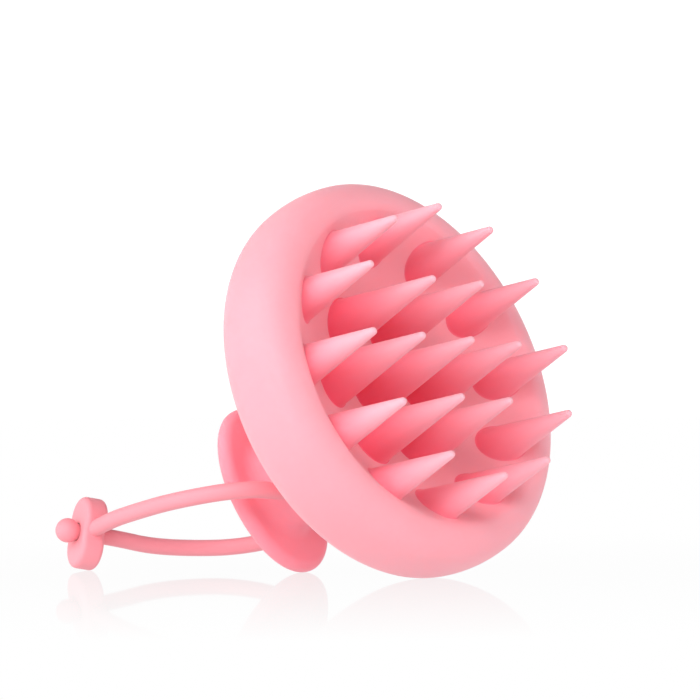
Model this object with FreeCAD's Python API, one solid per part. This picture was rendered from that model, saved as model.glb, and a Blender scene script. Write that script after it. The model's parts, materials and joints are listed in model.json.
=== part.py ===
import FreeCAD, Part
import math
import os

# Scalp massager brush, lying on its rim, its grip disc and its strap tab.
# Millimetres. The brush is drawn in its own frame first: +Z is the brush axis, out of the
# bristles, with 0 at the front of the rim, and the handle stands off the axis towards -X.
# TURN and SHIFT then take each piece into the resting pose, where the floor is Z = 0. The
# strap is drawn in the resting pose from the start.

# --- Driving dimensions: head -----------------------------------------------
HEAD_RADIUS = 41.45        # widest radius of the rim
BARREL_RADIUS = 20.0       # curvature of the rim's side
BARREL_HEIGHT = -8.75      # height at which the rim is widest
BARREL_HALF_ANGLE = 12.0   # degrees of the side's arc, each way
LIP_RADIUS = 5.8           # outer roll of the rim's front
LIP_INNER_RADIUS = 3.2     # inner roll of the rim's front, down into the dish
SHOULDER_RADIUS = 8.0      # roll of the rim's back
DISH_FLOOR = -14.45        # lowest point of the dish that carries the bristles
BACK_CENTRE = -23.5        # height of the head's back at the axis

# --- Driving dimensions: bristles -------------------------------------------
RINGS = ((14.5, 6), (28.75, 12))   # radius and number of bristles of each ring
RING_TURN = 8.8            # degrees from the handle's side to the first bristle
TIP_HEIGHT = 13.75         # centres of the round tips, above the rim's front
TIP_RADIUS = 0.8
CONE_HALF_ANGLE = 10.05
ROOT_DEPTH = 1.0           # how far a bristle's root goes into the head, square to the dish

# --- Driving dimensions: handle ---------------------------------------------
HANDLE_OFFSET = 9.7        # handle axis off the brush axis, towards -X
HANDLE_FLATNESS = 0.67     # short way over long way, of the neck and of the grip disc
DISC_RADIUS = 18.5         # grip disc, half of its long way
DISC_THICKNESS = 3.9
DISC_EDGE_RADIUS = 1.9     # roll of the disc's edge, on both faces
DISC_HEIGHT = -50.2        # middle of the grip disc
NECK_RADIUS = 9.4          # neck, half of its long way
NECK_FLARE = 3.0           # flare of the neck into the disc
ROOT_FLARE = 4.0           # flare of the neck into the head's back
SEAM_HEIGHT = -29.0        # plane of the neck where head skin and grip skin meet
EDGE_MATCH = 1.0           # how closely an edge's box has to match the neck's
HOLE_RADIUS = 2.3          # cross hole of the neck, which holds the strap
HOLE_HEIGHT = -40.8
HOLE_OFFSET = 11.1         # cross hole off the brush axis, towards -X

# --- Driving dimensions: rigid inserts --------------------------------------
CORE_DEPTH = 2.4           # silicone over the head core, on the bristle side
CORE_WALL = 3.0
CORE_RADIUS = 35.0
STEM_RADIUS = 7.6          # long half of the stem inside the neck
STEM_HOLE_RADIUS = 3.3     # the stem's cross hole, lined with silicone
INSERT_RADIUS = 13.5       # long half of the insert inside the grip disc
INSERT_THICKNESS = 1.6
SCREW_RADIUS = 1.5
SCREW_HEAD_RADIUS = 2.8
SCREW_HEAD_HEIGHT = 1.8
SCREW_LENGTH = 16.0
SCREW_RECESS = 0.4         # screw head below the head core's face

# --- Driving dimensions: strap, in the resting pose -------------------------
CORD_RADIUS = 1.75
ARC_SHARE = 0.45           # share of the shorter run that the arc at each corner takes
TAB_CENTRE = (-70.5, -11.4, 7.8)
TAB_HEADING = 247.0        # degrees from +X, the way the tab's hole points
TAB_RISE = 10.0            # degrees that the hole points upwards
TAB_THICKNESS = 5.0
LOBE_RADIUS = 4.85         # the tab's two round ends
LOBE_OFFSET = 2.8          # centre of each end from the tab's centre
WAIST_RADIUS = 2.3         # hollow side between the two ends
TAB_EDGE_RADIUS = 1.1
TAB_HOLE_RADIUS = 1.8
TAB_APPROACH = 7.0         # the cord's far end comes straight at the hole from this far
BALL_RADIUS = 2.6
BALL_OFFSET = 4.6          # ball's centre from the tab's centre
STUB_RADIUS = 1.7          # cord end that carries the ball, free to slide in the tab's hole
CORD_END = 1.2             # the cord's end inside the hole, behind the tab's centre
STUB_GAP = 0.1             # from the stub to the cord's other end, inside the hole
STRAP_NEAR_MOUTH = (-20.0, -3.8, 16.9)     # on the cross hole's axis, outside each mouth
STRAP_FAR_MOUTH = (-21.5, 10.5, 21.2)

# The strap's route from the tab, round the grip disc, through the neck and back to the tab
STRAP_ROUTE = (
    (-68.0, -12.4, 8.7),
    (-60.5, -14.2, 11.0),
    (-50.5, -16.4, 13.0),
    (-40.7, -18.6, 14.8),
    (-31.7, -18.5, 16.3),
    (-25.2, -16.0, 17.4),
    (-20.6, -10.8, 17.8),
    STRAP_NEAR_MOUTH,
    STRAP_FAR_MOUTH,
    (-23.5, 17.4, 21.9),
    (-28.8, 23.2, 18.6),
    (-36.6, 25.2, 12.2),
    (-46.4, 24.2, 6.2),
    (-55.3, 18.6, 4.2),
    (-61.2, 11.0, 4.1),
    (-65.0, 2.0, 4.8),
)

# --- Driving dimensions: resting pose ---------------------------------------
ROLL = 17.6                # degrees that the brush is rolled about its axis
STEEPEST_TILT = 45.0       # degrees, where the search for the resting tilt ends
TILT_TOLERANCE = 1e-9

V = FreeCAD.Vector
Z_AXIS = V(0, 0, 1)
ORIGIN = V(0, 0, 0)


def sin(degrees):
    return math.sin(math.radians(degrees))


def cos(degrees):
    return math.cos(math.radians(degrees))


def at(x, z):
    """A point of a section, which is drawn in the XZ plane."""
    return V(x, 0, z)


def on_circle(centre, radius, degrees):
    """The point of a section's circle at an angle from +X towards +Z."""
    return at(centre.x + radius * cos(degrees), centre.z + radius * sin(degrees))


def arc(centre, radius, start, end):
    """Arc of a section's circle from one angle to another."""
    middle = on_circle(centre, radius, (start + end) / 2)
    return Part.Arc(on_circle(centre, radius, start), middle, on_circle(centre, radius, end)).toShape()


def line(a, b):
    return Part.LineSegment(a, b).toShape()


def revolved(edges):
    """Solid of revolution about Z of a closed section, given as edges end to end."""
    return Part.Face(Part.Wire(edges)).revolve(ORIGIN, Z_AXIS, 360)


def cylinder(radius, bottom, top, x=0.0):
    return Part.makeCylinder(radius, top - bottom, at(x, bottom))


def angle_to(centre, point):
    """Angle, in degrees, at which a section's point is seen from a centre."""
    return math.degrees(math.atan2(point.z - centre.z, point.x - centre.x))


def oval(long_half, bottom, top):
    """Upright oval block about the handle's axis."""
    outline = Part.Ellipse(ORIGIN, long_half, long_half * HANDLE_FLATNESS).toShape()
    block = Part.Face(Part.Wire([outline])).extrude(V(0, 0, top - bottom))
    block.translate(at(-HANDLE_OFFSET, bottom))
    return block


def oval_edges(solid, long_half, lowest, highest):
    """The solid's closed edges that run round the handle's axis, between two heights."""
    found = []
    for edge in solid.Edges:
        around = edge.BoundBox
        on_axis = abs(around.Center.x + HANDLE_OFFSET) < EDGE_MATCH
        as_long = abs(around.XLength - 2 * long_half) < EDGE_MATCH
        if on_axis and as_long and around.ZMin > lowest and around.ZMax < highest:
            found.append(edge)
    return found


# --- The circles of the head's section --------------------------------------
BARREL_CENTRE = at(HEAD_RADIUS - BARREL_RADIUS, BARREL_HEIGHT)
LIP_CENTRE = on_circle(BARREL_CENTRE, BARREL_RADIUS - LIP_RADIUS, BARREL_HALF_ANGLE)
SHOULDER_CENTRE = on_circle(BARREL_CENTRE, BARREL_RADIUS - SHOULDER_RADIUS, -BARREL_HALF_ANGLE)
FRONT = LIP_CENTRE.z + LIP_RADIUS
LIP_INNER_CENTRE = at(LIP_CENTRE.x, FRONT - LIP_INNER_RADIUS)

# The dish touches the lip's inner roll from outside
DISH_K = DISH_FLOOR - LIP_INNER_CENTRE.z
DISH_REACH = LIP_CENTRE.x ** 2 + DISH_K ** 2 - LIP_INNER_RADIUS ** 2
DISH_RADIUS = DISH_REACH / (2 * (LIP_INNER_RADIUS - DISH_K))
DISH_CENTRE = at(0, DISH_FLOOR + DISH_RADIUS)
# The back dome touches the shoulder's roll from inside
BACK_K = SHOULDER_CENTRE.z - BACK_CENTRE
BACK_REACH = SHOULDER_CENTRE.x ** 2 + BACK_K ** 2 - SHOULDER_RADIUS ** 2
BACK_RADIUS = BACK_REACH / (2 * (BACK_K - SHOULDER_RADIUS))
BACK_DOME_CENTRE = at(0, BACK_CENTRE + BACK_RADIUS)


# --- Head -------------------------------------------------------------------
def head_block():
    """The head's outer shape, without bristles: rim, dish and back dome."""
    dish_end = angle_to(DISH_CENTRE, LIP_INNER_CENTRE)
    dome_end = angle_to(BACK_DOME_CENTRE, SHOULDER_CENTRE)
    edges = [
        arc(DISH_CENTRE, DISH_RADIUS, -90, dish_end),
        arc(LIP_INNER_CENTRE, LIP_INNER_RADIUS, dish_end + 180, 90),
        arc(LIP_CENTRE, LIP_RADIUS, 90, BARREL_HALF_ANGLE),
        arc(BARREL_CENTRE, BARREL_RADIUS, BARREL_HALF_ANGLE, -BARREL_HALF_ANGLE),
        arc(SHOULDER_CENTRE, SHOULDER_RADIUS, -BARREL_HALF_ANGLE, dome_end),
        arc(BACK_DOME_CENTRE, BACK_RADIUS, dome_end, -90),
        line(at(0, BACK_CENTRE), at(0, DISH_FLOOR)),
    ]
    return revolved(edges)


def head_with_root():
    """Head with the neck's root, blended by a flare all round the root."""
    root = oval(NECK_RADIUS, SEAM_HEIGHT, DISH_FLOOR - CORE_DEPTH)
    joined = head_block().fuse(root).removeSplitter()
    return joined.makeFillet(ROOT_FLARE, oval_edges(joined, NECK_RADIUS, SEAM_HEIGHT + EDGE_MATCH, 0))


# --- Bristles ---------------------------------------------------------------
def dish_height(radius):
    return DISH_CENTRE.z - math.sqrt(DISH_RADIUS ** 2 - radius ** 2)


def bristle(ring_radius, degrees):
    """One straight cone with a round tip, whose root follows the dish just below it."""
    slope = math.tan(math.radians(CONE_HALF_ANGLE))
    wide = TIP_RADIUS / cos(CONE_HALF_ANGLE) + (TIP_HEIGHT - dish_height(ring_radius)) * slope
    root = dish_height(max(ring_radius - wide, 0)) - 2 * ROOT_DEPTH
    tip = at(0, TIP_HEIGHT)
    root_radius = TIP_RADIUS / cos(CONE_HALF_ANGLE) + (TIP_HEIGHT - root) * slope
    edges = [
        line(at(0, root), at(root_radius, root)),
        line(at(root_radius, root), on_circle(tip, TIP_RADIUS, CONE_HALF_ANGLE)),
        arc(tip, TIP_RADIUS, CONE_HALF_ANGLE, 90),
        line(on_circle(tip, TIP_RADIUS, 90), at(0, root)),
    ]
    cone = revolved(edges)
    cone.translate(V(ring_radius, 0, 0))
    cone.rotate(ORIGIN, Z_AXIS, degrees)
    return cone.common(Part.makeSphere(DISH_RADIUS + ROOT_DEPTH, DISH_CENTRE)).Solids[0]


def bristle_ring(radius, count):
    first = 180 + RING_TURN
    return [bristle(radius, first + turn * 360 / count) for turn in range(count)]


# --- Rigid inserts ----------------------------------------------------------
def screw_seat():
    """Height of the underside of the screw's head, sunk into the head core."""
    return dish_height(HANDLE_OFFSET) - CORE_DEPTH - SCREW_HEAD_HEIGHT - SCREW_RECESS


def core_screw():
    seat = screw_seat()
    head = cylinder(SCREW_HEAD_RADIUS, seat, seat + SCREW_HEAD_HEIGHT, -HANDLE_OFFSET)
    shank = cylinder(SCREW_RADIUS, seat - SCREW_LENGTH, seat, -HANDLE_OFFSET)
    return head.fuse(shank).removeSplitter()


def head_core():
    """Dished plate inside the head, with an oval boss that stands on the handle's stem."""
    face = Part.makeSphere(DISH_RADIUS + CORE_DEPTH, DISH_CENTRE)
    bowl = Part.makeSphere(DISH_RADIUS + CORE_DEPTH + CORE_WALL, DISH_CENTRE)
    plate = bowl.common(cylinder(CORE_RADIUS, BACK_CENTRE, FRONT))
    boss = oval(STEM_RADIUS, SEAM_HEIGHT, DISH_FLOOR - CORE_DEPTH)
    screw_well = cylinder(SCREW_HEAD_RADIUS, screw_seat(), FRONT, -HANDLE_OFFSET)
    return plate.fuse(boss).removeSplitter().cut(face).cut(core_screw()).cut(screw_well)


def grip_core():
    """Oval stem with the flat insert of the grip disc, and the strap's cross hole."""
    half = INSERT_THICKNESS / 2
    insert = oval(INSERT_RADIUS, DISC_HEIGHT - half, DISC_HEIGHT + half)
    solid = insert.fuse(oval(STEM_RADIUS, DISC_HEIGHT - half, SEAM_HEIGHT)).removeSplitter()
    return solid.cut(cross_hole(STEM_HOLE_RADIUS)).cut(core_screw())


# --- Handle -----------------------------------------------------------------
def handle_block():
    """Oval disc with a rolled edge, whose face flares into the neck, up to the seam."""
    face = DISC_HEIGHT + DISC_THICKNESS / 2
    disc = oval(DISC_RADIUS, face - DISC_THICKNESS, face)
    rims = oval_edges(disc, DISC_RADIUS, face - 2 * DISC_THICKNESS, 0)
    rolled = disc.makeFillet(DISC_EDGE_RADIUS, rims)
    joined = rolled.fuse(oval(NECK_RADIUS, DISC_HEIGHT, SEAM_HEIGHT)).removeSplitter()
    foot = oval_edges(joined, NECK_RADIUS, DISC_HEIGHT, SEAM_HEIGHT - EDGE_MATCH)
    return joined.makeFillet(NECK_FLARE, foot)


def cross_hole(radius):
    """Pin-shaped hole across the neck, along Y."""
    start = V(-HOLE_OFFSET, -2 * NECK_RADIUS, HOLE_HEIGHT)
    return Part.makeCylinder(radius, 4 * NECK_RADIUS, start, V(0, 1, 0))


def grip_skin():
    """Soft sleeve over the stem and the disc's insert, open at the seam."""
    return handle_block().cut(grip_core()).cut(core_screw()).cut(cross_hole(HOLE_RADIUS))


def head_skin(bristles, core, screw):
    """Soft moulding of the head, hollow where the core, the screw and the bristles' roots sit."""
    return head_with_root().cut(Part.makeCompound(bristles)).cut(core).cut(screw)


# --- Resting pose -----------------------------------------------------------
def rim_drop(tilt):
    """How far the rim's back roll reaches below the brush frame's origin."""
    return SHOULDER_CENTRE.x * cos(tilt) - SHOULDER_CENTRE.z * sin(tilt) + SHOULDER_RADIUS


def disc_drop(tilt):
    """How far the grip disc's edge reaches below the brush frame's origin."""
    outline = DISC_RADIUS * math.hypot(cos(ROLL), HANDLE_FLATNESS * sin(ROLL))
    roll_height = DISC_HEIGHT - DISC_THICKNESS / 2 + DISC_EDGE_RADIUS
    across = HANDLE_OFFSET * cos(ROLL) + outline - DISC_EDGE_RADIUS
    return across * cos(tilt) - roll_height * sin(tilt) + DISC_EDGE_RADIUS


def resting_tilt():
    """Angle of the brush axis above the floor at which rim and disc both touch it."""
    low = 0.0
    high = STEEPEST_TILT
    while high - low > TILT_TOLERANCE:
        middle = (low + high) / 2
        if disc_drop(middle) < rim_drop(middle):
            low = middle
        else:
            high = middle
    return low


TILT = resting_tilt()
LAYING = FreeCAD.Rotation(V(-sin(TILT), 0, cos(TILT)), V(0, -1, 0), V(cos(TILT), 0, sin(TILT)), "ZXY")
TURN = LAYING.multiply(FreeCAD.Rotation(Z_AXIS, ROLL))


# --- Strap ------------------------------------------------------------------
def tab_direction():
    """The way the tab's hole points, from the cord's side to the ball's side."""
    return V(cos(TAB_HEADING) * cos(TAB_RISE), sin(TAB_HEADING) * cos(TAB_RISE), sin(TAB_RISE))


def on_tab_axis(distance):
    return V(*TAB_CENTRE) + tab_direction() * distance


def tab_outline():
    """Two round ends joined by a hollow waist on each side, in the XY plane."""
    reach = LOBE_RADIUS + WAIST_RADIUS
    waist = math.sqrt(reach ** 2 - LOBE_OFFSET ** 2)
    slope = math.degrees(math.atan2(LOBE_OFFSET, waist))
    sides = []
    for quarter in (1, -1):
        lobe = V(0, quarter * LOBE_OFFSET, 0)
        lobe_arc = [V(LOBE_RADIUS * cos(a), LOBE_RADIUS * sin(a), 0) + lobe
                    for a in (-quarter * slope, quarter * 90, 180 + quarter * slope)]
        sides.append(Part.Arc(*lobe_arc).toShape())
        hollow = V(quarter * waist, 0, 0)
        turn = 180 if quarter > 0 else 0
        hollow_arc = [V(WAIST_RADIUS * cos(a), WAIST_RADIUS * sin(a), 0) + hollow
                      for a in (turn - slope, turn, turn + slope)]
        sides.append(Part.Arc(*hollow_arc).toShape())
    return Part.Wire(Part.__sortEdges__(sides))


def keeper_tab():
    """Soft tab at the cord's near end, with the hole that the far end goes through."""
    block = Part.Face(tab_outline()).extrude(V(0, 0, TAB_THICKNESS))
    block.translate(V(0, 0, -TAB_THICKNESS / 2))
    rims = [edge for edge in block.Edges if edge.BoundBox.ZLength < TAB_THICKNESS / 2]
    block = block.makeFillet(TAB_EDGE_RADIUS, rims)
    hole = Part.makeCylinder(TAB_HOLE_RADIUS, 2 * TAB_THICKNESS, V(0, 0, -TAB_THICKNESS))
    block = block.cut(hole)
    out = tab_direction()
    across = V(sin(TAB_HEADING), -cos(TAB_HEADING), 0)
    facing = FreeCAD.Rotation(across, out.cross(across), out, "ZXY")
    block.Placement = FreeCAD.Placement(V(*TAB_CENTRE), facing)
    return block


def ball_stud():
    """Ball on the cord's far end, with the short stub that fills the tab's hole."""
    stub_start = STUB_GAP - CORD_END
    stub_length = BALL_OFFSET - stub_start
    stub = Part.makeCylinder(STUB_RADIUS, stub_length, on_tab_axis(stub_start), tab_direction())
    return Part.makeSphere(BALL_RADIUS, on_tab_axis(BALL_OFFSET)).fuse(stub).removeSplitter()


def rounded_path(points):
    """Straight runs through the points, joined by tangent arcs as large as the runs allow."""
    edges = []
    start = points[0]
    for before, corner, after in zip(points, points[1:], points[2:]):
        arriving = corner - before
        leaving = after - corner
        half_turn = arriving.getAngle(leaving) / 2
        trim = ARC_SHARE * min(arriving.Length, leaving.Length)
        radius = trim / math.tan(half_turn)
        print("strap arc radius %.1f mm, %.1f diameters" % (radius, radius / (2 * CORD_RADIUS)))
        arc_start = corner - arriving.normalize() * trim
        arc_end = corner + leaving.normalize() * trim
        to_middle = (arc_start + arc_end) * 0.5 - corner
        depth = radius / math.cos(half_turn) - radius
        arc_middle = corner + to_middle.normalize() * depth
        edges.append(Part.LineSegment(start, arc_start).toShape())
        edges.append(Part.Arc(arc_start, arc_middle, arc_end).toShape())
        start = arc_end
    edges.append(Part.LineSegment(start, points[-1]).toShape())
    return Part.Wire(edges)


def strap_cord(tab):
    """Round cord from the tab, through the neck, and back into the tab's hole."""
    points = [V(*point) for point in STRAP_ROUTE] + [on_tab_axis(-TAB_APPROACH), on_tab_axis(-CORD_END)]
    path = rounded_path(points)
    section = Part.Wire([Part.makeCircle(CORD_RADIUS, points[0], points[1] - points[0])])
    tube = path.makePipeShell([section], True, False)
    expected = math.pi * CORD_RADIUS ** 2 * path.Length
    print("strap length %.1f mm" % path.Length)
    print("strap volume over section times length %.4f" % (tube.Volume / expected))
    return tube.cut(tab)


# --- Parts ------------------------------------------------------------------
centre_bristle = bristle_ring(0, 1)
inner_bristles, outer_bristles = [bristle_ring(radius, count) for radius, count in RINGS]
brush = {
    "head_skin": [head_skin(centre_bristle + inner_bristles + outer_bristles, head_core(), core_screw())],
    "centre_bristle": centre_bristle,
    "inner_bristles": inner_bristles,
    "outer_bristles": outer_bristles,
    "head_core": [head_core()],
    "core_screw": [core_screw()],
    "grip_core": [grip_core()],
    "grip_skin": [grip_skin()],
}
for solids in brush.values():
    for solid in solids:
        solid.Placement = FreeCAD.Placement(ORIGIN, TURN).multiply(solid.Placement)
box = Part.makeCompound([solid for solids in brush.values() for solid in solids]).optimalBoundingBox()
SHIFT = V(-(box.XMin + box.XMax) / 2, -(box.YMin + box.YMax) / 2, rim_drop(TILT))
print("tilt %.3f degrees, shift %s" % (TILT, SHIFT))
print("brush box %s" % box)
parts = {}
for name, solids in brush.items():
    for solid in solids:
        solid.translate(SHIFT)
    parts[name] = Part.makeCompound(solids) if len(solids) > 1 else solids[0]

tab = keeper_tab()
parts["keeper_tab"] = tab
parts["strap_cord"] = strap_cord(tab)
parts["ball_stud"] = ball_stud()

os.makedirs("parts", exist_ok=True)
for name, shape in parts.items():
    bounds = shape.optimalBoundingBox()
    print("%-16s valid %s, solids %d, volume %.1f, Z from %.3f"
          % (name, shape.isValid(), len(shape.Solids), shape.Volume, bounds.ZMin))
    shape.exportStep("parts/" + name + ".step")
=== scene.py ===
import json
import math
import bmesh
import bpy
from mathutils import Matrix, Vector, geometry


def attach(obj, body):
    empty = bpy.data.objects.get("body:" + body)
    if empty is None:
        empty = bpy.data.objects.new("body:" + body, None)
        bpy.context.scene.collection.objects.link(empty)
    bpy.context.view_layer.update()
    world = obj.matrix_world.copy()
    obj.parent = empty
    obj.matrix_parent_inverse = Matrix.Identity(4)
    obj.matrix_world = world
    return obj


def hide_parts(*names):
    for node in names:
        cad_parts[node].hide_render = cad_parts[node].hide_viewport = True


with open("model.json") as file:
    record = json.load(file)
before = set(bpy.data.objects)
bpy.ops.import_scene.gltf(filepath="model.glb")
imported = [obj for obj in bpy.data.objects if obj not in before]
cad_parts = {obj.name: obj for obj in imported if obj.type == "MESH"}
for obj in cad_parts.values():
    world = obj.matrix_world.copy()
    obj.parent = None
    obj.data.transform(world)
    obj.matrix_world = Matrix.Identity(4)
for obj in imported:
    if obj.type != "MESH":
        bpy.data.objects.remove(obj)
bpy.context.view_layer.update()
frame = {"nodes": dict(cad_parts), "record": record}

# Scalp massager brush in soft pink silicone. The brush's own frame is in millimetres: +Z is
# the brush axis, out of the bristles, with 0 at the front of the rim, and the handle stands
# off the axis towards -X. BRUSH takes a point from it to the row frame, in metres.
MM = 0.001

# --- Sizes of the head, in brush millimetres --------------------------------
HEAD_RADIUS = 41.45
BARREL_RADIUS = 20.0
BARREL_HEIGHT = -8.75
BARREL_HALF_ANGLE = 12.0
LIP_RADIUS = 5.8
LIP_INNER_RADIUS = 3.2
SHOULDER_RADIUS = 8.0
DISH_FLOOR = -14.45
BACK_MIDDLE = -23.5

# --- Sizes of the bristles --------------------------------------------------
RINGS = ((0.0, 1), (14.5, 6), (28.75, 12))   # radius and number of bristles of each ring
RING_TURN = 188.8          # degrees from +X to the first bristle of each ring
TIP_HEIGHT = 13.75
TIP_RADIUS = 0.8
CONE_HALF_ANGLE = math.radians(10.05)
BRISTLE_FILLET = 0.35      # soft root of each bristle
FILLET_FOOT = 0.8 * BRISTLE_FILLET   # how far the soft root spreads over the dish

# --- Sizes of the handle ----------------------------------------------------
HANDLE_OFFSET = 9.7
HANDLE_FLATNESS = 0.67
DISC_RADIUS = 18.5
DISC_THICKNESS = 3.9
DISC_EDGE_RADIUS = 1.9
DISC_HEIGHT = -50.2
DISC_FACE = DISC_HEIGHT + DISC_THICKNESS / 2
DISC_BACK = DISC_HEIGHT - DISC_THICKNESS / 2
NECK_RADIUS = 9.4
NECK_FLARE = 3.0
ROOT_FLARE = 4.0
SEAM_HEIGHT = -29.0
HOLE_RADIUS = 2.3
HOLE_HEIGHT = -40.8
HOLE_OFFSET = 11.1
HOLE_LIP = 0.6
# The hole's mouth: distance past the neck's side, and flare as a share of the lip
HOLE_MOUTH = ((-1.2, 0), (-0.6, 0.12), (-0.2, 0.5), (0.2, 1.1), (2.0, 4))

# --- Sizes of the strap -----------------------------------------------------
CORD_DIAMETER = 0.0035
TAB_CENTRE = Vector((-70.5, -11.4, 7.8)) * MM
TAB_HEADING = math.radians(247.0)
TAB_RISE = math.radians(10.0)
TAB_THICKNESS = 5.0
LOBE_RADIUS = 4.85
LOBE_OFFSET = 2.8
WAIST_RADIUS = 2.3
TAB_EDGE_RADIUS = 1.1
TAB_HOLE_RADIUS = 1.8
TAB_LIP = 0.25             # rounding of the hole's rims
TAB_LIP_BEND = 0.07        # how far the rounding's middle lies from the face and the hole
BALL_RADIUS = 2.6
BALL_OFFSET = 4.6
STUB_RADIUS = 1.7
STUB_START = -1.1
STUB_FILLET = 0.15
TAB_AXIS = Vector((
    math.cos(TAB_HEADING) * math.cos(TAB_RISE),
    math.sin(TAB_HEADING) * math.cos(TAB_RISE),
    math.sin(TAB_RISE),
))

# The strap's route, in row metres: from the tab, round the grip disc, through the neck and
# back into the tab's hole
STRAP_ROUTE = (
    (-0.0680, -0.0124, 0.0087),
    (-0.0605, -0.0142, 0.0110),
    (-0.0505, -0.0164, 0.0130),
    (-0.0407, -0.0186, 0.0148),
    (-0.0317, -0.0185, 0.0163),
    (-0.0252, -0.0160, 0.0174),
    (-0.0206, -0.0108, 0.0178),
    (-0.0200, -0.0038, 0.0169),
    (-0.0215, 0.0105, 0.0212),
    (-0.0235, 0.0174, 0.0219),
    (-0.0288, 0.0232, 0.0186),
    (-0.0366, 0.0252, 0.0122),
    (-0.0464, 0.0242, 0.0062),
    (-0.0553, 0.0186, 0.0042),
    (-0.0612, 0.0110, 0.0041),
    (-0.0650, 0.0020, 0.0048),
    tuple(TAB_CENTRE - TAB_AXIS * 7 * MM),
    tuple(TAB_CENTRE - TAB_AXIS * 1.2 * MM),
)

# --- Fineness of the meshes -------------------------------------------------
HEAD_ROUND = 240           # points round each piece
BRISTLE_ROUND = 40
NECK_ROUND = 144
SMALL_ROUND = 64
TIP_RINGS = 5              # rings over each stretch
CONE_RINGS = 10
FILLET_RINGS = 5
ROOT_RINGS = 12
NECK_RINGS = 20
DISC_FACE_RINGS = 6
DISC_BACK_RINGS = 16
TAB_FACE_RINGS = 8
FIELD_STEP = 1.5           # between the free points of the dish
GRID_ROW = math.sqrt(0.75)   # between the rows of a triangular grid, as a share of its step
CLEARANCE = 0.6            # between free points and edges, as a share of the step
FOOT_PASSES = 12           # to find where a bristle's side meets the dish
SAME_POINT = 1e-6

# --- Camera, at the photograph's viewing angle ------------------------------
CAMERA_TARGET = Vector((0.00887, -0.01607, 0.04598))
CAMERA_DISTANCE = 0.87325
CAMERA_AZIMUTH = math.radians(41.818)
CAMERA_ELEVATION = math.radians(-0.411)
CAMERA_ROLL = math.radians(0.427)
CAMERA_LENS = 225.0


def add_object(name, data):
    made = bpy.data.objects.new(name, data)
    bpy.context.scene.collection.objects.link(made)
    return made


def make_camera():
    data = bpy.data.cameras.new("camera")
    data.lens = CAMERA_LENS
    data.clip_start = 0.01
    data.clip_end = 20
    camera = add_object("camera", data)
    back = Vector((
        math.sin(CAMERA_AZIMUTH) * math.cos(CAMERA_ELEVATION),
        -math.cos(CAMERA_AZIMUTH) * math.cos(CAMERA_ELEVATION),
        math.sin(CAMERA_ELEVATION),
    ))
    camera.location = CAMERA_TARGET + back * CAMERA_DISTANCE
    facing = (-back).to_track_quat("-Z", "Y").to_matrix()
    camera.rotation_euler = (facing @ Matrix.Rotation(-CAMERA_ROLL, 3, "Z")).to_euler()
    bpy.context.scene.camera = camera


# --- Frames -----------------------------------------------------------------
BRUSH_ROLL = math.radians(17.6)   # turn about the brush axis, fitted to the photograph


def brush_placement():
    """Brush frame to row frame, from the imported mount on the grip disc's back."""
    mount = frame["record"]["mounts"][0]
    tilt = math.asin(-mount["axis"][2])
    s, c = math.sin(tilt), math.cos(tilt)
    turn = Matrix(((-s, 0, c), (0, -1, 0), (c, 0, s))) @ Matrix.Rotation(BRUSH_ROLL, 3, "Z")
    origin = Vector(mount["pos_m"]) - turn @ Vector((-HANDLE_OFFSET, 0, DISC_BACK)) * MM
    return Matrix.Translation(origin) @ turn.to_4x4() @ Matrix.Scale(MM, 4)


def tab_placement():
    """Tab frame, in millimetres with +Z along its hole and +Y up, to the row frame."""
    across = Vector((math.sin(TAB_HEADING), -math.cos(TAB_HEADING), 0))
    up = TAB_AXIS.cross(across)
    turn = Matrix((across, up, TAB_AXIS)).transposed()
    return Matrix.Translation(TAB_CENTRE) @ turn.to_4x4() @ Matrix.Scale(MM, 4)


BRUSH = brush_placement()
TAB = tab_placement()


# --- Mesh building ----------------------------------------------------------
def turns(count):
    """Angles, in radians, spread evenly round a circle."""
    return [2 * math.pi * i / count for i in range(count)]


def circle(radius, z, count):
    """Points round the Z axis, at a height."""
    return [(radius * math.cos(a), radius * math.sin(a), z) for a in turns(count)]


def on_circle(centre, radius, degrees):
    """Point on a circle of a flat section or outline."""
    a = math.radians(degrees)
    return (centre[0] + radius * math.cos(a), centre[1] + radius * math.sin(a))


def arc(centre, radius, start, end, step=4.0):
    """Points along an arc of a flat section or outline, with its angles in degrees."""
    count = max(2, math.ceil(abs(end - start) / step))
    angles = [start + (end - start) * i / count for i in range(count + 1)]
    return [on_circle(centre, radius, degrees) for degrees in angles]


def seen_from(centre, point):
    """Angle, in degrees, at which a section's point is seen from a centre."""
    return math.degrees(math.atan2(point[1] - centre[1], point[0] - centre[0]))


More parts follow.
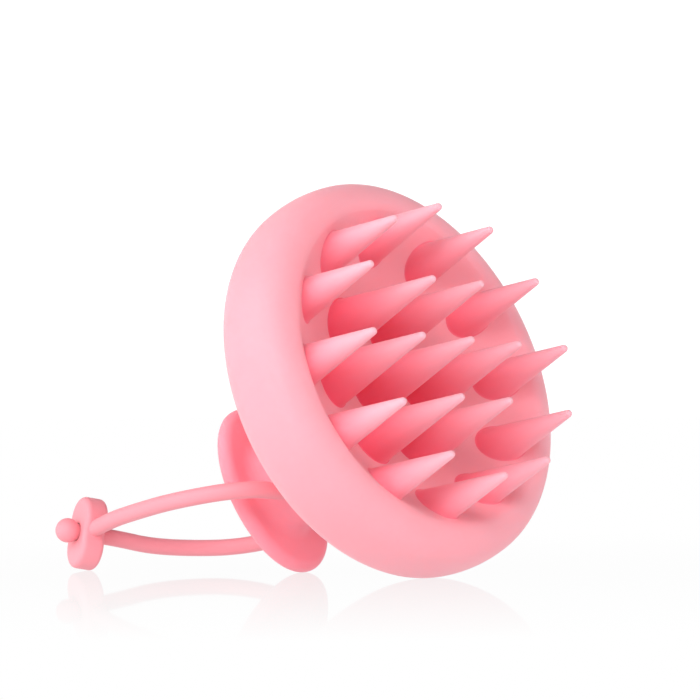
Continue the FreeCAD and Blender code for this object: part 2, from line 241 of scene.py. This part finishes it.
class Shell:
    """A closed mesh made of rings of points, lofted walls and triangulated sheets."""

    def __init__(self):
        self.points = []
        self.faces = []

    def ring(self, points):
        first = len(self.points)
        self.points.extend(Vector(p) for p in points)
        return list(range(first, len(self.points)))

    def wall(self, low, high):
        for i in range(len(low)):
            j = (i + 1) % len(low)
            self.faces.append((low[i], low[j], high[j], high[i]))

    def walls(self, rings):
        for low, high in zip(rings, rings[1:]):
            self.wall(low, high)

    def cone(self, ring, tip):
        apex = self.ring([tip])[0]
        for i in range(len(ring)):
            self.faces.append((ring[i], ring[(i + 1) % len(ring)], apex))

    def sheet(self, outer, holes, height, step):
        """Triangles over a round field with holes, at height(x, y)."""
        loops = [outer] + holes
        flat = []
        owner = []
        ids = []
        edges = []
        for number, loop in enumerate(loops):
            first = len(flat)
            flat += [self.points[i].xy for i in loop]
            owner += [number] * len(loop)
            ids += loop
            edges += [(first + i, first + (i + 1) % len(loop)) for i in range(len(loop))]
        inner = free_points([[self.points[i].xy for i in loop] for loop in loops], step)
        flat += inner
        owner += [-1] * len(inner)
        ids += self.ring([(p.x, p.y, height(p.x, p.y)) for p in inner])
        _, _, triangles, origins, _, _ = geometry.delaunay_2d_cdt(flat, edges, [], 0, SAME_POINT)
        for triangle in triangles:
            corners = [origins[i][0] for i in triangle]
            loops_touched = {owner[i] for i in corners}
            in_a_hole = len(loops_touched) == 1 and loops_touched.pop() > 0
            if not in_a_hole:
                self.faces.append(tuple(ids[i] for i in corners))

    def piece(self, name, placement):
        mesh = bpy.data.meshes.new(name)
        mesh.from_pydata([placement @ p for p in self.points], [], self.faces)
        mesh.validate()
        tidy_normals(mesh)
        return add_object(name, mesh)


def tidy_normals(mesh):
    """All faces outwards and shaded smooth."""
    work = bmesh.new()
    work.from_mesh(mesh)
    bmesh.ops.recalc_face_normals(work, faces=work.faces)
    for face in work.faces:
        face.smooth = True
    work.to_mesh(mesh)
    work.free()


def free_points(loops, step):
    """Points of a triangular grid inside the first loop and outside the others, clear of all."""
    reach = max(p.length for p in loops[0])
    rows = math.ceil(reach / (step * GRID_ROW))
    columns = math.ceil(reach / step) + 1
    found = []
    for row in range(-rows, rows + 1):
        for column in range(-columns, columns + 1):
            point = Vector(((column + 0.5 * (row % 2)) * step, row * step * GRID_ROW))
            inside = point.length < reach - CLEARANCE * step
            if inside and all(clear_of(point, loop, step) for loop in loops[1:]):
                found.append(point)
    return found


def clear_of(point, loop, step):
    """True if the point is outside a round loop, with the clearance between them."""
    centre = sum(loop, Vector((0, 0))) / len(loop)
    reach = max((p - centre).length for p in loop)
    if (point - centre).length > reach + CLEARANCE * step:
        return True
    if min((p - point).length for p in loop) < CLEARANCE * step:
        return False
    nearest = min(loop, key=lambda p: (p - point).length)
    return (point - centre).length > (nearest - centre).length


def blend(start, corner, end, count):
    """Round fillet from start to end whose two tangents meet at the corner."""
    a = (corner - start).normalized()
    b = (end - corner).normalized()
    weight = math.cos(a.angle(b) / 2)
    points = []
    for i in range(1, count + 1):
        t = i / count
        parts = ((1 - t) ** 2, 2 * weight * t * (1 - t), t ** 2)
        points.append((start * parts[0] + corner * parts[1] + end * parts[2]) / sum(parts))
    return points


# --- Section of the head ----------------------------------------------------
def bowl_radius(roll_centre, roll_radius, bottom):
    """Radius of a bowl on the axis, with its bottom at a height, that runs smoothly into a roll.

    The roll's radius is negative where the roll curves the other way from the bowl.
    """
    rise = roll_centre[1] - bottom
    return (roll_centre[0] ** 2 + rise ** 2 - roll_radius ** 2) / (2 * (rise - roll_radius))


BARREL_CENTRE = (HEAD_RADIUS - BARREL_RADIUS, BARREL_HEIGHT)
LIP_CENTRE = on_circle(BARREL_CENTRE, BARREL_RADIUS - LIP_RADIUS, BARREL_HALF_ANGLE)
SHOULDER_CENTRE = on_circle(BARREL_CENTRE, BARREL_RADIUS - SHOULDER_RADIUS, -BARREL_HALF_ANGLE)
LIP_INNER_CENTRE = (LIP_CENTRE[0], LIP_CENTRE[1] + LIP_RADIUS - LIP_INNER_RADIUS)
DISH_RADIUS = bowl_radius(LIP_INNER_CENTRE, -LIP_INNER_RADIUS, DISH_FLOOR)
DISH_CENTRE = (0, DISH_FLOOR + DISH_RADIUS)
DISH_EDGE = LIP_CENTRE[0] * DISH_RADIUS / (DISH_RADIUS + LIP_INNER_RADIUS)
FIELD_EDGE = DISH_EDGE + 0.5   # a little way up the lip's inner roll
BACK_RADIUS = bowl_radius(SHOULDER_CENTRE, SHOULDER_RADIUS, BACK_MIDDLE)
DOME_CENTRE = (0, BACK_MIDDLE + BACK_RADIUS)


def dish_height(x, y):
    """The bristled field: the dish, then the start of the lip's inner roll."""
    r = math.hypot(x, y)
    if r < DISH_EDGE:
        return DISH_CENTRE[1] - math.sqrt(DISH_RADIUS ** 2 - r ** 2)
    return LIP_INNER_CENTRE[1] + math.sqrt(LIP_INNER_RADIUS ** 2 - (LIP_INNER_CENTRE[0] - r) ** 2)


def back_height(x, y):
    """The shallow dome of the head's back."""
    return DOME_CENTRE[1] - math.sqrt(BACK_RADIUS ** 2 - x ** 2 - y ** 2)


def bristle_side(z):
    """Radius of a bristle at a height."""
    return TIP_RADIUS / math.cos(CONE_HALF_ANGLE) + (TIP_HEIGHT - z) * math.tan(CONE_HALF_ANGLE)


def on_tip(x, y, out, rise):
    """Point on a bristle's round tip, at an angle above the tip's widest ring."""
    middle = Vector((x, y, TIP_HEIGHT + TIP_RADIUS * math.sin(rise)))
    return middle + out * TIP_RADIUS * math.cos(rise)


def bristle_rings(shell, x, y):
    """One bristle's rings, from its tip to its soft root on the dish."""
    columns = []
    for a in turns(BRISTLE_ROUND):
        out = Vector((math.cos(a), math.sin(a), 0))
        radius = bristle_side(dish_height(x, y))
        for _ in range(FOOT_PASSES):
            radius = bristle_side(dish_height(x + radius * out.x, y + radius * out.y))
        foot_z = dish_height(x + radius * out.x, y + radius * out.y)
        corner = Vector((x, y, foot_z)) + out * radius
        end = Vector((x, y, 0)) + out * (radius + FILLET_FOOT)
        end.z = dish_height(end.x, end.y)
        lean = math.sin(CONE_HALF_ANGLE)
        up_the_side = Vector((-out.x * lean, -out.y * lean, math.cos(CONE_HALF_ANGLE)))
        start = corner + up_the_side * BRISTLE_FILLET
        shoulder = on_tip(x, y, out, CONE_HALF_ANGLE)
        column = []
        for step in range(1, TIP_RINGS + 1):
            rise = math.pi / 2 + (CONE_HALF_ANGLE - math.pi / 2) * step / TIP_RINGS
            column.append(on_tip(x, y, out, rise))
        column += [shoulder.lerp(start, step / CONE_RINGS) for step in range(1, CONE_RINGS + 1)]
        column += blend(start, corner, end, FILLET_RINGS)
        columns.append(column)
    rings = [shell.ring(level) for level in zip(*columns)]
    shell.cone(rings[0], (x, y, TIP_HEIGHT + TIP_RADIUS))
    shell.walls(rings)
    return rings[-1]


def neck_rings(shell):
    """The neck's rings from its soft root on the head's back to the seam."""
    columns = []
    for a in turns(NECK_ROUND):
        foot = Vector((NECK_RADIUS * math.cos(a), NECK_RADIUS * HANDLE_FLATNESS * math.sin(a), 0))
        out = Vector((math.cos(a) * HANDLE_FLATNESS, math.sin(a), 0)).normalized()
        foot.x -= HANDLE_OFFSET
        end = foot + out * ROOT_FLARE
        end.z = back_height(end.x, end.y)
        foot.z = back_height(foot.x, foot.y)
        start = foot - Vector((0, 0, ROOT_FLARE))
        column = [end] + blend(end, foot, start, ROOT_RINGS)
        seam = Vector((foot.x, foot.y, SEAM_HEIGHT))
        column += [start.lerp(seam, step / 2) for step in (1, 2)]
        columns.append(column)
    rings = [shell.ring(level) for level in zip(*columns)]
    shell.walls(rings)
    return rings


def make_head():
    """Rim, bristled dish, back dome and the root of the neck, as one skin."""
    shell = Shell()
    field_angle = 180 - math.degrees(math.acos((LIP_INNER_CENTRE[0] - FIELD_EDGE) / LIP_INNER_RADIUS))
    dome_end = seen_from(DOME_CENTRE, SHOULDER_CENTRE)
    section = arc(LIP_INNER_CENTRE, LIP_INNER_RADIUS, field_angle, 90)
    section += arc(LIP_CENTRE, LIP_RADIUS, 90, BARREL_HALF_ANGLE)[1:]
    section += arc(BARREL_CENTRE, BARREL_RADIUS, BARREL_HALF_ANGLE, -BARREL_HALF_ANGLE, 2)[1:]
    section += arc(SHOULDER_CENTRE, SHOULDER_RADIUS, -BARREL_HALF_ANGLE, dome_end)[1:]
    rings = [shell.ring(circle(r, z, HEAD_ROUND)) for r, z in section]
    shell.walls(rings)
    first_bristle_face = len(shell.faces)
    feet = []
    for ring_radius, count in RINGS:
        for i in range(count):
            a = math.radians(RING_TURN + 360 * i / count)
            feet.append(bristle_rings(shell, ring_radius * math.cos(a), ring_radius * math.sin(a)))
    last_bristle_face = len(shell.faces)
    shell.sheet(rings[0], feet, dish_height, FIELD_STEP)
    neck = neck_rings(shell)
    shell.sheet(rings[-1], [neck[0]], back_height, 2 * FIELD_STEP)
    shell.cone(neck[-1], (-HANDLE_OFFSET, 0, SEAM_HEIGHT))
    head = shell.piece("head_shell", BRUSH)
    paint(head, satin("head_silicone", PALE))
    # The bristles' material is painted darker towards their roots, as shade
    head.data.materials.append(satin("bristle_silicone_root_shade", BRISTLE_TIP, BRISTLE_ROOT_SHADE))
    for face in head.data.polygons[first_bristle_face:last_bristle_face]:
        face.material_index = 1
    return head


# --- Handle -----------------------------------------------------------------
def oval_ring(long_half, offset, z):
    """Ring about the handle's axis, a set distance outside the oval."""
    points = []
    for a in turns(NECK_ROUND):
        out = Vector((math.cos(a) * HANDLE_FLATNESS, math.sin(a))).normalized() * offset
        points.append(Vector((long_half * math.cos(a) - HANDLE_OFFSET + out.x,
                              long_half * HANDLE_FLATNESS * math.sin(a) + out.y, z)))
    return points


def rings_between(low, high, count):
    """Rings spread evenly from one ring to another, without the first."""
    return [[a.lerp(b, step / count) for a, b in zip(low, high)] for step in range(1, count + 1)]


def handle_rings():
    """The handle from the seam down the neck, over the disc's face and edge, to its flat back."""
    roll = DISC_EDGE_RADIUS
    flare_top = DISC_FACE + NECK_FLARE
    rings = [oval_ring(NECK_RADIUS, 0, SEAM_HEIGHT)]
    rings += rings_between(rings[-1], oval_ring(NECK_RADIUS, 0, flare_top), NECK_RINGS)
    for offset, z in arc((NECK_FLARE, flare_top), NECK_FLARE, 180, 270, step=6)[1:]:
        rings.append(oval_ring(NECK_RADIUS, offset, z))
    rings += rings_between(rings[-1], oval_ring(DISC_RADIUS, -roll, DISC_FACE), DISC_FACE_RINGS)
    for offset, z in arc((-roll, DISC_FACE - roll), roll, 90, 0, step=7.5)[1:]:
        rings.append(oval_ring(DISC_RADIUS, offset, z))
    for offset, z in arc((-roll, DISC_BACK + roll), roll, 0, -90, step=7.5):
        rings.append(oval_ring(DISC_RADIUS, offset, z))
    middle = [Vector((-HANDLE_OFFSET, 0, DISC_BACK))] * NECK_ROUND
    return rings + rings_between(rings[-1], middle, DISC_BACK_RINGS)[:-1]


def make_handle():
    """Neck and grip disc as one skin, drilled by the cross hole."""
    shell = Shell()
    rings = [shell.ring(points) for points in handle_rings()]
    shell.walls(rings)
    shell.cone(rings[0], (-HANDLE_OFFSET, 0, SEAM_HEIGHT))
    shell.cone(rings[-1], (-HANDLE_OFFSET, 0, DISC_BACK))
    handle = shell.piece("grip_shell", BRUSH)
    cutter = hole_cutter()
    cut = handle.modifiers.new("cross_hole", "BOOLEAN")
    cut.object = cutter
    cut.solver = "EXACT"
    bpy.context.view_layer.update()
    evaluated = handle.evaluated_get(bpy.context.evaluated_depsgraph_get())
    drilled = bpy.data.meshes.new_from_object(evaluated)
    handle.modifiers.clear()
    handle.data = drilled
    bpy.data.objects.remove(cutter)
    tidy_normals(drilled)
    return handle


def hole_cutter():
    """Round cutter along Y that leaves the cross hole with soft mouths."""
    shell = Shell()
    side = NECK_RADIUS * HANDLE_FLATNESS
    half = [(side + past, HOLE_RADIUS + flare * HOLE_LIP) for past, flare in HOLE_MOUTH]
    profile = [(-y, r) for y, r in reversed(half)] + [(0, HOLE_RADIUS)] + half
    rings = []
    for y, r in profile:
        rings.append(shell.ring([(r * math.cos(a) - HOLE_OFFSET, y, r * math.sin(a) + HOLE_HEIGHT)
                                 for a in turns(SMALL_ROUND)]))
    shell.walls(rings)
    shell.cone(rings[0], (-HOLE_OFFSET, profile[0][0], HOLE_HEIGHT))
    shell.cone(rings[-1], (-HOLE_OFFSET, profile[-1][0], HOLE_HEIGHT))
    return shell.piece("hole_cutter", BRUSH)


# --- Strap ------------------------------------------------------------------
def make_strap():
    """The cord as one smooth curve, whose points carry its radius."""
    data = bpy.data.curves.new("strap", "CURVE")
    data.dimensions = "3D"
    data.bevel_depth = 1
    data.bevel_resolution = 8
    data.resolution_u = 16
    data.use_fill_caps = True
    line = data.splines.new("NURBS")
    line.points.add(len(STRAP_ROUTE) - 1)
    for point, place in zip(line.points, STRAP_ROUTE):
        point.co = (*place, 1)
        point.radius = CORD_DIAMETER / 2
    line.order_u = 3
    line.use_endpoint_u = True
    return add_object("strap", data)


def tab_outline(inset):
    """The tab's outline, moved inwards: two round ends and the hollow waist between them."""
    waist = math.sqrt((LOBE_RADIUS + WAIST_RADIUS) ** 2 - LOBE_OFFSET ** 2)
    slope = math.degrees(math.atan2(LOBE_OFFSET, waist))
    lobe, hollow = LOBE_RADIUS - inset, WAIST_RADIUS + inset
    points = arc((0, LOBE_OFFSET), lobe, -slope, 180 + slope)[:-1]
    points += arc((-waist, 0), hollow, slope, -slope)[:-1]
    points += arc((0, -LOBE_OFFSET), lobe, 180 - slope, 360 + slope)[:-1]
    points += arc((waist, 0), hollow, 180 + slope, 180 - slope)[:-1]
    return points


def tab_face(shell, outer, side):
    """One flat face, from its outer ring to the hole, and the soft lip that leads into the hole.

    The side is 1 for the upper face and -1 for the lower. Returns the ring inside the hole.
    """
    rings = [outer]
    for step in range(1, TAB_FACE_RINGS + 1):
        t = step / TAB_FACE_RINGS
        level = []
        for p in [shell.points[i] for i in outer]:
            mouth = Vector((p.x, p.y, 0)).normalized() * (TAB_HOLE_RADIUS + TAB_LIP)
            level.append((p.x + (mouth.x - p.x) * t, p.y + (mouth.y - p.y) * t, p.z))
        rings.append(shell.ring(level))
    rim = [shell.points[i] for i in rings[-1]]
    for radius, depth in ((TAB_HOLE_RADIUS + TAB_LIP_BEND, TAB_LIP_BEND), (TAB_HOLE_RADIUS, TAB_LIP)):
        level = [Vector((p.x, p.y, 0)).normalized() * radius for p in rim]
        rings.append(shell.ring([(p.x, p.y, side * (TAB_THICKNESS / 2 - depth)) for p in level]))
    shell.walls(rings)
    return rings[-1]


def make_tab():
    """Soft tab with flat faces, rounded edges and a hole through it."""
    shell = Shell()
    levels = []
    wall_end = TAB_THICKNESS / 2 - TAB_EDGE_RADIUS
    for degrees in range(90, -1, -10):
        a = math.radians(degrees)
        levels.append((TAB_EDGE_RADIUS * (1 - math.cos(a)), wall_end + TAB_EDGE_RADIUS * math.sin(a)))
    rings = []
    for inset, z in levels + [(inset, -z) for inset, z in reversed(levels)]:
        rings.append(shell.ring([(x, y, z) for x, y in tab_outline(inset)]))
    shell.walls(rings)
    upper = tab_face(shell, rings[0], 1)
    lower = tab_face(shell, rings[-1], -1)
    shell.wall(upper, lower)
    return shell.piece("tab", TAB)


def make_ball():
    """The ball and its stub, with a soft foot where they meet."""
    shell = Shell()
    foot = math.degrees(math.asin((STUB_RADIUS + 2 * STUB_FILLET) / BALL_RADIUS))
    section = []
    for degrees in range(6, math.ceil(180 - foot), 6):
        a = math.radians(degrees)
        section.append((BALL_RADIUS * math.sin(a), BALL_OFFSET + BALL_RADIUS * math.cos(a)))
    meeting = BALL_OFFSET - BALL_RADIUS * math.cos(math.asin(STUB_RADIUS / BALL_RADIUS))
    section.append((STUB_RADIUS, meeting - STUB_FILLET))
    section.append((STUB_RADIUS, STUB_START + STUB_FILLET))
    section.append((STUB_RADIUS - STUB_FILLET, STUB_START))
    rings = [shell.ring(circle(r, z, SMALL_ROUND)) for r, z in section]
    shell.walls(rings)
    shell.cone(rings[0], (0, 0, BALL_OFFSET + BALL_RADIUS))
    shell.cone(rings[-1], (0, 0, STUB_START))
    return shell.piece("ball", TAB)


# --- Materials --------------------------------------------------------------
def node(tree, kind, **settings):
    made = tree.nodes.new(kind)
    for name, value in settings.items():
        setattr(made, name, value)
    return made


ROOT_SHADE_SPAN = (-0.016, 0.013)   # metres along the brush axis from the rim's front, root to tip, over which the painted shade at the bristles' roots fades out


def noise(tree, place, scale, detail):
    made = node(tree, "ShaderNodeTexNoise")
    made.inputs["Scale"].default_value = scale
    made.inputs["Detail"].default_value = detail
    tree.links.new(place, made.inputs["Vector"])
    return made.outputs["Fac"]


def satin(name, colour, root_shade=None, roughness=0.5, inner_light=0.5):
    """Soft-touch silicone: faint cloudy colour, satin sheen and a fine powdery grain.

    The hidden inserts have it too, in their own colours. With a root colour given, the colour goes
    from it at a bristle's root, as painted shade, to colour at its tip. The inner light is the share
    that travels inside the silicone. It is 0 on the strap's pieces, because it made dark specks on
    the cord.
    """
    material = bpy.data.materials.new(name)
    material.use_nodes = True
    tree = material.node_tree
    shader = tree.nodes["Principled BSDF"]
    place = node(tree, "ShaderNodeTexCoord").outputs["Object"]

    cloud = noise(tree, place, 60, 3)
    tint = node(tree, "ShaderNodeMix", data_type="RGBA")
    tint.inputs["A"].default_value = (*[c * 0.97 for c in colour], 1)
    tint.inputs["B"].default_value = (*[min(1, c * 1.03) for c in colour], 1)
    tree.links.new(cloud, tint.inputs["Factor"])
    surface = tint.outputs["Result"]

    # Painted shade: the bristles go darker towards their roots, along the brush axis
    if root_shade:
        axis = (BRUSH.to_3x3() @ Vector((0, 0, 1))).normalized()
        origin = BRUSH @ Vector((0, 0, 0))
        along = node(tree, "ShaderNodeVectorMath", operation="DOT_PRODUCT")
        along.inputs[1].default_value = axis
        tree.links.new(place, along.inputs[0])
        reach = node(tree, "ShaderNodeMapRange", interpolation_type="SMOOTHSTEP")
        reach.inputs["From Min"].default_value = origin.dot(axis) + ROOT_SHADE_SPAN[0]
        reach.inputs["From Max"].default_value = origin.dot(axis) + ROOT_SHADE_SPAN[1]
        tree.links.new(along.outputs["Value"], reach.inputs["Value"])
        fade = node(tree, "ShaderNodeMix", data_type="RGBA")
        fade.inputs["A"].default_value = (*root_shade, 1)
        tree.links.new(reach.outputs["Result"], fade.inputs["Factor"])
        tree.links.new(surface, fade.inputs["B"])
        surface = fade.outputs["Result"]
    tree.links.new(surface, shader.inputs["Base Color"])

    haze = noise(tree, place, 240, 4)
    rough = node(tree, "ShaderNodeMapRange")
    rough.inputs["To Min"].default_value = roughness - 0.05
    rough.inputs["To Max"].default_value = roughness + 0.07
    tree.links.new(haze, rough.inputs["Value"])
    tree.links.new(rough.outputs["Result"], shader.inputs["Roughness"])

    grain = noise(tree, place, 2600, 2)
    bump = node(tree, "ShaderNodeBump")
    bump.inputs["Strength"].default_value = 0.12
    bump.inputs["Distance"].default_value = 0.00006
    tree.links.new(grain, bump.inputs["Height"])
    tree.links.new(bump.outputs["Normal"], shader.inputs["Normal"])

    shader.inputs["IOR"].default_value = 1.42
    shader.inputs["Specular IOR Level"].default_value = 0.25
    shader.inputs["Subsurface Weight"].default_value = inner_light
    shader.inputs["Subsurface Radius"].default_value = (1.0, 0.35, 0.3)
    shader.inputs["Subsurface Scale"].default_value = 0.004
    shader.inputs["Sheen Weight"].default_value = 0.12
    shader.inputs["Sheen Roughness"].default_value = 0.5
    return material


def paint(piece, material):
    piece.data.materials.clear()
    piece.data.materials.append(material)


# --- Floor and light --------------------------------------------------------
POLISH = 0.26              # share of the floor's light that is its mirror image, at its centre
POLISH_CENTRE = (-0.02, 0.01, 0)
POLISH_REACH = 0.24
POLISH_ROUGHNESS = 0.03
FLOOR_HALF = 3.0
SKY_HORIZON = 1.15         # the sky's strength at the horizon and overhead
SKY_OVERHEAD = 0.1
SKY_DIMMING = (0.25, 0.6)  # height, on a dome of radius 1, where the dimming starts and ends
LIGHT_TARGET = (-0.02, 0, 0.04)
LIGHTS = (                 # name, place, size and power of each
    ("left", (-0.75, -0.95, 0.85), 0.8, 7.5),
    ("front", (0.45, -1.1, 0.8), 0.8, 9),
    ("low", (0.0, -1.3, 0.2), 0.5, 3),
    ("right", (1.1, -0.3, 0.5), 0.8, 2.5),
)


def floor_white():
    """Shining white under a polish that fades away from the brush."""
    material = bpy.data.materials.new("floor_white")
    material.use_nodes = True
    tree = material.node_tree
    tree.nodes.clear()
    away = node(tree, "ShaderNodeVectorMath", operation="DISTANCE")
    away.inputs[1].default_value = POLISH_CENTRE
    tree.links.new(node(tree, "ShaderNodeTexCoord").outputs["Object"], away.inputs[0])
    fade = node(tree, "ShaderNodeMapRange")
    fade.inputs["From Max"].default_value = POLISH_REACH
    fade.inputs["To Min"].default_value = POLISH
    fade.inputs["To Max"].default_value = 0
    tree.links.new(away.outputs["Value"], fade.inputs["Value"])
    light = node(tree, "ShaderNodeEmission")
    light.inputs["Strength"].default_value = 1
    polish = node(tree, "ShaderNodeBsdfGlossy")
    polish.inputs["Roughness"].default_value = POLISH_ROUGHNESS
    mix = node(tree, "ShaderNodeMixShader")
    out = node(tree, "ShaderNodeOutputMaterial")
    tree.links.new(fade.outputs["Result"], mix.inputs["Fac"])
    tree.links.new(light.outputs["Emission"], mix.inputs[1])
    tree.links.new(polish.outputs["BSDF"], mix.inputs[2])
    tree.links.new(mix.outputs["Shader"], out.inputs["Surface"])
    return material


def make_floor():
    corners = [(-1, -1), (1, -1), (1, 1), (-1, 1)]
    mesh = bpy.data.meshes.new("floor")
    mesh.from_pydata([(x * FLOOR_HALF, y * FLOOR_HALF, 0) for x, y in corners], [], [(0, 1, 2, 3)])
    floor = add_object("floor", mesh)
    paint(floor, floor_white())


def make_sky():
    """White all round the horizon, dimming overhead."""
    sky = bpy.data.worlds.new("studio")
    sky.use_nodes = True
    tree = sky.node_tree
    height = node(tree, "ShaderNodeSeparateXYZ")
    tree.links.new(node(tree, "ShaderNodeTexCoord").outputs["Generated"], height.inputs["Vector"])
    dim = node(tree, "ShaderNodeMapRange")
    dim.inputs["From Min"].default_value = SKY_DIMMING[0]
    dim.inputs["From Max"].default_value = SKY_DIMMING[1]
    dim.inputs["To Min"].default_value = SKY_HORIZON
    dim.inputs["To Max"].default_value = SKY_OVERHEAD
    tree.links.new(height.outputs["Z"], dim.inputs["Value"])
    tree.links.new(dim.outputs["Result"], tree.nodes["Background"].inputs["Strength"])
    tree.nodes["Background"].inputs["Color"].default_value = (1, 1, 1, 1)
    bpy.context.scene.world = sky


def area_light(name, place, size, power):
    data = bpy.data.lights.new(name, "AREA")
    data.shape = "DISK"
    data.size = size
    data.energy = power
    light = add_object(name, data)
    light.location = place
    aim = Vector(LIGHT_TARGET) - Vector(place)
    light.rotation_euler = aim.to_track_quat("-Z", "Y").to_euler()


def make_light():
    for name, place, size, power in LIGHTS:
        area_light(name, place, size, power)
    bpy.context.scene.view_settings.view_transform = "Standard"


# --- The scene --------------------------------------------------------------
PALE = (0.96, 0.37, 0.43)
BRISTLE_TIP = (0.96, 0.42, 0.49)
# The bristles' root colour is painted shade, darker than the silicone's own pink at the tips
BRISTLE_ROOT_SHADE = (0.93, 0.12, 0.20)
# The handle is the same silicone as the head; this pink is kept darker than PALE as painted shade for
# the grip disc's shaded face
HANDLE_PINK_WITH_SHADE = (0.94, 0.30, 0.37)
STRAP_PINK = (0.90, 0.31, 0.36)
CORE_WHITE = (0.9, 0.88, 0.85)
SCREW_GREY = (0.6, 0.6, 0.62)

make_camera()
strap = make_strap()
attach(strap, "strap")
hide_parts("strap_cord")
paint(strap, satin("strap_silicone", STRAP_PINK, inner_light=0))

tab = make_tab()
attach(tab, "strap")
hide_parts("keeper_tab")
paint(tab, satin("tab_silicone", STRAP_PINK, inner_light=0))

ball = make_ball()
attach(ball, "ball")
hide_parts("ball_stud")
paint(ball, satin("ball_silicone", STRAP_PINK, inner_light=0))

head = make_head()
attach(head, "brush")
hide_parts("head_skin", "centre_bristle", "inner_bristles", "outer_bristles")

handle = make_handle()
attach(handle, "brush")
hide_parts("grip_skin")
# The handle's pink is the silicone's own colour, painted darker than the head's as shade
paint(handle, satin("grip_silicone_painted_shade", HANDLE_PINK_WITH_SHADE))

plastic = satin("core_plastic", CORE_WHITE, roughness=0.55)
for name in ("head_core", "grip_core"):
    paint(frame["nodes"][name], plastic)
paint(frame["nodes"]["core_screw"], satin("screw_steel", SCREW_GREY, roughness=0.35))

make_floor()
make_sky()
make_light()
